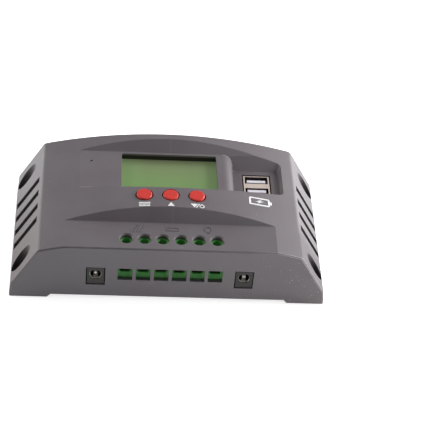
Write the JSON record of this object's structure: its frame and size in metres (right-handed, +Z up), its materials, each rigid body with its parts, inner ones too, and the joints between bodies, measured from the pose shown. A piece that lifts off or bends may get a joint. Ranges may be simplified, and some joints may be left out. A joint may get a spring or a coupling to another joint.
{
  "type": "charge controller",
  "caption": "Solar charge controller in a crowned wall-mount case with display, red push buttons, clamp terminals, barrel jacks and a double charging port.",
  "frame": {"origin": "middle of the feet, on the surface the controller lies on", "axes": "+X right along the length, +Y away from the terminal face, +Z up through the display"},
  "size_m": [0.168, 0.088, 0.0435],
  "materials": {
    "casing": "fine matt moulded texture",
    "red_plastic": "semi-gloss moulded red",
    "green_plastic": "satin moulded green",
    "black_plastic": "satin black",
    "white_plastic": "satin white",
    "pale_plastic": "satin cream",
    "display_glass": "smooth, unlit grey-green display",
    "circuit_board": "green solder resist on glass fibre",
    "steel": "zinc-plated steel",
    "nickel": "nickel plate",
    "aluminium": "plain extruded aluminium",
    "brass": "tinned brass",
    "sleeve": "dark shrink sleeve",
    "red_lens": "tinted clear lens"
  },
  "bodies": {
    "casing": {"top_cover": "casing", "base_plate": "casing", "terminal_housing": "green_plastic", "lcd_bezel": "black_plastic", "board_connector": "black_plastic", "jack_housing_left": "black_plastic", "jack_housing_right": "black_plastic", "power_inductor": "black_plastic", "power_transistor_1": "black_plastic", "power_transistor_2": "black_plastic", "switch_body_1": "black_plastic", "switch_body_2": "black_plastic", "switch_body_3": "black_plastic", "lcd_backlight": "white_plastic", "port_tongue_front": "white_plastic", "port_tongue_back": "white_plastic", "lcd_glass": "display_glass", "main_board": "circuit_board", "display_board": "circuit_board", "case_screw_1": "steel", "case_screw_2": "steel", "case_screw_3": "steel", "case_screw_4": "steel", "board_screw_1": "steel", "board_screw_2": "steel", "board_screw_3": "steel", "board_screw_4": "steel", "display_screw_1": "steel", "display_screw_2": "steel", "port_shell": "steel", "jack_pin_left": "nickel", "jack_pin_right": "nickel", "heat_sink": "aluminium", "terminal_contact_1": "brass", "terminal_contact_2": "brass", "terminal_contact_3": "brass", "terminal_contact_4": "brass", "terminal_contact_5": "brass", "terminal_contact_6": "brass", "capacitor_1": "sleeve", "capacitor_2": "sleeve", "indicator_led": "red_lens"},
    "button_1": {"button_cap_1": "red_plastic", "switch_plunger_1": "pale_plastic"},
    "button_2": {"button_cap_2": "red_plastic", "switch_plunger_2": "pale_plastic"},
    "button_3": {"button_cap_3": "red_plastic", "switch_plunger_3": "pale_plastic"},
    "clamp_screw_1": {"terminal_screw_1": "nickel"},
    "clamp_screw_2": {"terminal_screw_2": "nickel"},
    "clamp_screw_3": {"terminal_screw_3": "nickel"},
    "clamp_screw_4": {"terminal_screw_4": "nickel"},
    "clamp_screw_5": {"terminal_screw_5": "nickel"},
    "clamp_screw_6": {"terminal_screw_6": "nickel"},
    "clamp_cage_1": {"terminal_cage_1": "steel"},
    "clamp_cage_2": {"terminal_cage_2": "steel"},
    "clamp_cage_3": {"terminal_cage_3": "steel"},
    "clamp_cage_4": {"terminal_cage_4": "steel"},
    "clamp_cage_5": {"terminal_cage_5": "steel"},
    "clamp_cage_6": {"terminal_cage_6": "steel"}
  },
  "joints": [
    {"name": "button_1_press", "type": "slide", "parent": "casing", "child": "button_1", "axis": [0, 0, -1], "range_m": [0, 0.0004], "stiffness_N_per_m": 1000},
    {"name": "button_2_press", "type": "slide", "parent": "casing", "child": "button_2", "axis": [0, 0, -1], "range_m": [0, 0.0004], "stiffness_N_per_m": 1000},
    {"name": "button_3_press", "type": "slide", "parent": "casing", "child": "button_3", "axis": [0, 0, -1], "range_m": [0, 0.0004], "stiffness_N_per_m": 1000},
    {"name": "clamp_screw_1_turn", "type": "hinge", "parent": "casing", "child": "clamp_screw_1", "pos_m": [-0.0233, -0.0357, 0.029], "axis": [0, 0, -1], "range_deg": [0, 1440]},
    {"name": "clamp_cage_1_lift", "type": "slide", "parent": "casing", "child": "clamp_cage_1", "axis": [0, 0, 1], "range_m": [0, 0.0028]},
    {"name": "clamp_screw_2_turn", "type": "hinge", "parent": "casing", "child": "clamp_screw_2", "pos_m": [-0.0138, -0.0357, 0.029], "axis": [0, 0, -1], "range_deg": [0, 1440]},
    {"name": "clamp_cage_2_lift", "type": "slide", "parent": "casing", "child": "clamp_cage_2", "axis": [0, 0, 1], "range_m": [0, 0.0028]},
    {"name": "clamp_screw_3_turn", "type": "hinge", "parent": "casing", "child": "clamp_screw_3", "pos_m": [-0.0043, -0.0357, 0.029], "axis": [0, 0, -1], "range_deg": [0, 1440]},
    {"name": "clamp_cage_3_lift", "type": "slide", "parent": "casing", "child": "clamp_cage_3", "axis": [0, 0, 1], "range_m": [0, 0.0028]},
    {"name": "clamp_screw_4_turn", "type": "hinge", "parent": "casing", "child": "clamp_screw_4", "pos_m": [0.0052, -0.0357, 0.029], "axis": [0, 0, -1], "range_deg": [0, 1440]},
    {"name": "clamp_cage_4_lift", "type": "slide", "parent": "casing", "child": "clamp_cage_4", "axis": [0, 0, 1], "range_m": [0, 0.0028]},
    {"name": "clamp_screw_5_turn", "type": "hinge", "parent": "casing", "child": "clamp_screw_5", "pos_m": [0.0147, -0.0357, 0.029], "axis": [0, 0, -1], "range_deg": [0, 1440]},
    {"name": "clamp_cage_5_lift", "type": "slide", "parent": "casing", "child": "clamp_cage_5", "axis": [0, 0, 1], "range_m": [0, 0.0028]},
    {"name": "clamp_screw_6_turn", "type": "hinge", "parent": "casing", "child": "clamp_screw_6", "pos_m": [0.0242, -0.0357, 0.029], "axis": [0, 0, -1], "range_deg": [0, 1440]},
    {"name": "clamp_cage_6_lift", "type": "slide", "parent": "casing", "child": "clamp_cage_6", "axis": [0, 0, 1], "range_m": [0, 0.0028]}
  ],
  "couplings": [
    {"joint": "clamp_screw_1_turn", "follows": "clamp_cage_1_lift", "rad_per_m": 8975.9},
    {"joint": "clamp_screw_2_turn", "follows": "clamp_cage_2_lift", "rad_per_m": 8975.9},
    {"joint": "clamp_screw_3_turn", "follows": "clamp_cage_3_lift", "rad_per_m": 8975.9},
    {"joint": "clamp_screw_4_turn", "follows": "clamp_cage_4_lift", "rad_per_m": 8975.9},
    {"joint": "clamp_screw_5_turn", "follows": "clamp_cage_5_lift", "rad_per_m": 8975.9},
    {"joint": "clamp_screw_6_turn", "follows": "clamp_cage_6_lift", "rad_per_m": 8975.9}
  ]
}
